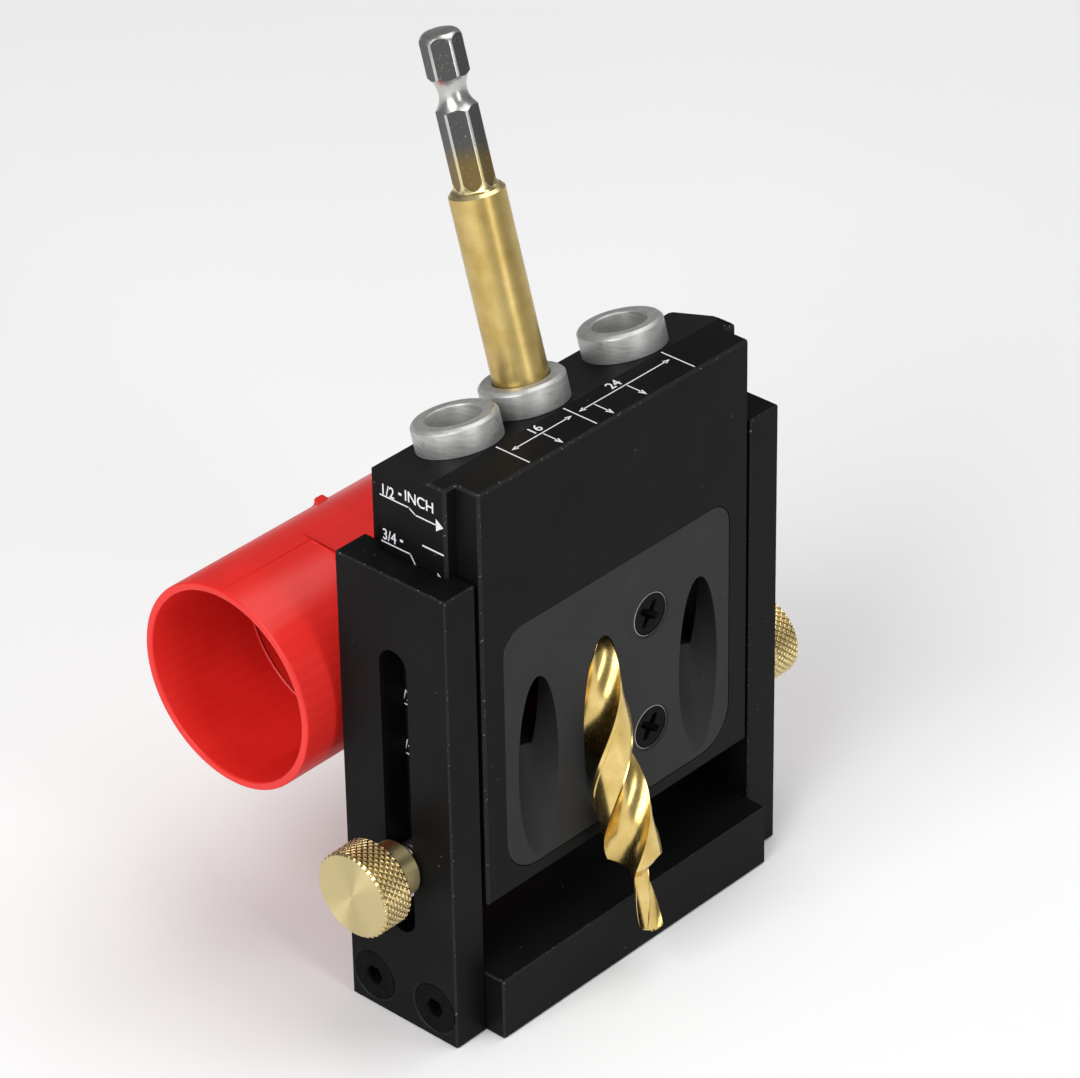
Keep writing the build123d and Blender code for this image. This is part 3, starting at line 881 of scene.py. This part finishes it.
def stroke(face, start, end, width=LINE):
    """Straight printed line with its ends carried on by half its width."""
    a, b = Vector(start), Vector(end)
    along = (b - a).normalized() * width / 2
    side = Vector((-along.y, along.x))
    a, b = a - along, b + along
    return prism(face, [a - side, b - side, b + side, a + side])


def arrow(face, tip, direction, length, half_width):
    """Filled arrowhead."""
    tip, direction = Vector(tip), Vector(direction).normalized()
    side = Vector((-direction.y, direction.x)) * half_width
    foot = tip - direction * length
    return prism(face, [tip, foot + side, foot - side])


def printed(name, shapes, ink):
    """Join printed patches into one piece on the guide."""
    vertices, faces = [], []
    for points, polygons in shapes:
        shift = len(vertices)
        vertices += points
        faces += [tuple(i + shift for i in polygon) for polygon in polygons]
    build(name, (vertices, faces), [ink], "guide")


def lettering(name, text, face, x, y, height, ink, squeeze=1.0):
    """Raised plain lettering, centred on a point."""
    curve = bpy.data.curves.new(name, "FONT")
    curve.body = text
    curve.align_x, curve.align_y = "CENTER", "CENTER"
    curve.size = height * MM / CAPITAL_SHARE
    curve.extrude = INK / 2 * MM
    curve.offset = LETTER_WEIGHT * height * MM
    curve.materials.append(ink)
    piece = add_object(name, curve)
    piece.matrix_world = face.matrix(x, y) @ Matrix.Diagonal((squeeze, 1, 1, 1))
    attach(piece, "guide")


def spacing_marks(ink):
    """Bore spacings printed on the strip in front of the bushings."""
    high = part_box("guide_block")[1]
    top = Face((0, 0, high.z), (1, 0, 0), (0, 1, 0))
    bores = []
    for place in BORES:
        near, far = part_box(f"{place}_bushing")
        bores.append((near.x + far.x) / 2 / MM)
    front, back = BORE_LINE
    shapes = [stroke(top, (x, front), (x, back)) for x in bores]
    for left, right in zip(bores, bores[1:]):
        ends = (left + SPACING_END, right - SPACING_END)
        line = [(ends[0] + SPACING_SHORT, SPACING_Y), (ends[1] - SPACING_SHORT, SPACING_Y)]
        shapes.append(stroke(top, *line, FINE_LINE))
        for end, direction in zip(ends, (-1, 1)):
            shapes.append(arrow(top, (end, SPACING_Y), (direction, 0), *SPACING_HEAD))
    back, front = FACE_ARROW_LINE
    for x in FACE_ARROWS:
        shapes.append(stroke(top, (x, back), (x, front), FINE_LINE))
        shapes.append(arrow(top, (x, FACE_ARROW_TIP), (0, -1), *FACE_ARROW_HEAD))
    printed("spacing_lines", shapes, ink)
    for text, x in SPACING_TEXTS:
        lettering(f"spacing_{text}", text, top, x, SPACING_TEXT_Y, SPACING_TEXT_HEIGHT, ink)


def thickness_marks(ink):
    """Board thicknesses printed down the left tongue, the upper two with a stepped arrow."""
    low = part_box("guide_block")[0]
    left = Face((low.x, 0, 0), (0, -1, 0), (0, 0, 1))
    shapes = []
    for level, drop in STEP_ARROWS:
        levels = (level, level, level - drop, level - drop)
        corners = list(zip(STEP_ENDS, levels))
        shapes += [stroke(left, a, b) for a, b in zip(corners, corners[1:])]
        shapes.append(arrow(left, (STEP_TIP, level - drop), (1, 0), *STEP_HEAD))
    rows = [(SHORT_LINE, SHORT_LEVEL, SHORT_WIDTH)]
    rows += [(PLAIN_LINE, level, LINE) for level in PLAIN_LEVELS]
    rows += [(DASH, level, DASH_WIDTH) for level in DASH_LEVELS]
    for (start, end), level, width in rows:
        shapes.append(stroke(left, (start, level), (end, level), width))
    printed("thickness_lines", shapes, ink)
    for name, text, x, level, squeeze in THICKNESS_TEXTS:
        lettering(name, text, left, x, level, THICKNESS_TEXT_HEIGHT, ink, squeeze)


# ---------------------------------------------------------------- stage, light and camera

def direction(azimuth, elevation):
    """Unit vector from the object towards a place, by degrees round from the front and up."""
    a, e = math.radians(azimuth), math.radians(elevation)
    return Vector((math.sin(a) * math.cos(e), -math.cos(a) * math.cos(e), math.sin(e)))


def floor():
    """Plain pale floor under the object."""
    s = Shader("pale_floor")
    s.set(Base_Color=s.mix(s.noise(0.01, 2.0), (0.90, 0.90, 0.90), (0.93, 0.93, 0.93)), Roughness=0.9)
    mesh = bpy.data.meshes.new("floor")
    corners = ((-1, -1), (1, -1), (1, 1), (-1, 1))
    points = [(x * FLOOR_HALF, y * FLOOR_HALF, -FLOOR_DROP * MM) for x, y in corners]
    mesh.from_pydata(points, [], [(0, 1, 2, 3)])
    mesh.materials.append(s.material)
    plane = add_object("floor", mesh)


def soft_light(name, away, size, watts, centre):
    """Rectangular softbox aimed at the object's middle."""
    lamp = bpy.data.lights.new(name, "AREA")
    lamp.shape = "RECTANGLE"
    lamp.size, lamp.size_y = size
    lamp.energy = watts
    holder = add_object(name, lamp)
    holder.location = centre + away * SOFTBOX_DISTANCE
    holder.visible_camera = False
    holder.rotation_mode = "QUATERNION"
    holder.rotation_quaternion = away.to_track_quat("Z", "Y")


def studio():
    """Pale surroundings and three softboxes."""
    world = bpy.data.worlds.new("studio")
    bpy.context.scene.world = world
    world.use_nodes = True
    nodes, links = world.node_tree.nodes, world.node_tree.links
    background = nodes["Background"]
    background.inputs["Color"].default_value = (1.0, 1.0, 1.0, 1.0)
    strength = nodes.new("ShaderNodeMapRange")
    strength.inputs["To Min"].default_value = ROOM_LIGHT
    strength.inputs["To Max"].default_value = BACKDROP_LIGHT
    links.new(nodes.new("ShaderNodeLightPath").outputs["Is Camera Ray"], strength.inputs["Value"])
    links.new(strength.outputs["Result"], background.inputs["Strength"])
    low, high = CAD_BOUNDS
    for name, azimuth, elevation, size, watts in SOFTBOXES:
        soft_light(name, direction(azimuth, elevation), size, watts, (low + high) / 2)
    view = bpy.context.scene.view_settings
    view.view_transform = "Standard"
    view.look = "None"


def camera():
    """Long lens aimed along the view direction, turned by its small roll."""
    data = bpy.data.cameras.new("camera")
    data.lens, data.sensor_width = LENS, SENSOR
    data.clip_start, data.clip_end = CLIP_START, CLIP_END
    holder = add_object("camera", data)
    azimuth, roll = math.radians(VIEW_AZIMUTH), math.radians(VIEW_ROLL)
    back = direction(VIEW_AZIMUTH, VIEW_ELEVATION)
    right = Vector((math.cos(azimuth), math.sin(azimuth), 0.0))
    up = back.cross(right)
    across = right * math.cos(roll) + up * math.sin(roll)
    above = up * math.cos(roll) - right * math.sin(roll)
    turn = Matrix((across, above, back)).transposed().to_4x4()
    place = (Vector(VIEW_TARGET) + back * VIEW_DISTANCE) * MM
    holder.matrix_world = Matrix.Translation(place) @ turn
    bpy.context.scene.camera = holder


# ---------------------------------------------------------------- the whole object

def finish_nodes(nodes, material):
    """Give CAD nodes their material."""
    for node in nodes:
        data = frame["nodes"][node].data
        data.materials.clear()
        data.materials.append(material)


def soften(node, width):
    """Round a CAD node's sharp edges with modifiers, which leave its own mesh as it is."""
    part = frame["nodes"][node]
    weld = part.modifiers.new("weld", "WELD")
    weld.merge_threshold = WELD_DISTANCE * MM
    bevel = part.modifiers.new("edges", "BEVEL")
    bevel.width = width * MM
    bevel.segments = SOFT_SEGMENTS
    bevel.limit_method = "ANGLE"
    bevel.angle_limit = SOFT_ANGLE
    bevel.use_clamp_overlap = False
    bevel.harden_normals = True


def parting_line(plastic):
    """Raised mould line along the top of the port's tube, up to where the hood's flat top starts."""
    low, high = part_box("dust_port")
    middle_y = mount("dust_port_mouth")["pos_m"][1]
    top = Face((0, middle_y, high.z - SEAM_SUNK * MM), (1, 0, 0), (0, 1, 0))
    start, half = low.x / MM + PORT_EDGE, SEAM / 2
    corners = [(start, -half), (HOOD_X, -half), (HOOD_X, half), (start, half)]
    build("parting_line", prism(top, corners, SEAM_HEIGHT), [plastic], "guide")


def drill():
    """The fluted body and the hexagonal end, with the coating fading out between them."""
    lathe = drill_lathe()
    shift = lathe.origin.dot(lathe.axis) / MM
    fade = (shift + TINT_START, shift + TINT_END, lathe.axis)
    rubbed = bright_steel(*fade)
    flutes = gold_coating("flute_coating", 1.0, (0.20, 0.29))
    # Same coating on the shank, darkened to 0.75 as painted shade against the flutes, which look brighter
    # from light bounced inside them; its higher roughness is its own.
    shank = gold_coating("shaded_shank_coating", 0.75, (0.30, 0.40))
    fluted_drill(lathe, flutes, shank, rubbed)
    hexagon_end(lathe, hexagon_steel(*fade), rubbed)


def thumb_screws(steel):
    """Both knobs, which share one axis height, and their studs."""
    low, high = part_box("left_thumb_knob")
    middle = (low + high) / 2 / MM
    sides_brass, face_brass = brass(), spun_brass(middle.y, middle.z)
    for side in SIDES:
        knob(side, sides_brass, face_brass)
        stud(side, steel)


def dress():
    """Every node's material and every detailed piece."""
    oxide, plastic, ink, thread = black_oxide(), red_plastic(), white_ink(), thread_steel()
    plates = [f"{side}_side_plate" for side in SIDES]
    finish_nodes(["guide_block", "stop_bar"] + plates, black_anodised())
    finish_nodes(PLATE_SCREWS, oxide)
    finish_nodes(["exit_insert"], insert_plastic())
    finish_nodes(["dust_port"], plastic)
    finish_nodes([f"{place}_bushing" for place in BORES], turned_steel())
    for node, width in SOFT_EDGES.items():
        soften(node, width)
    parting_line(plastic)
    drill()
    thumb_screws(thread)
    for place in ("upper", "lower"):
        insert_screw(place, oxide, thread)
    spacing_marks(ink)
    thickness_marks(ink)


dress()
floor()
studio()
camera()
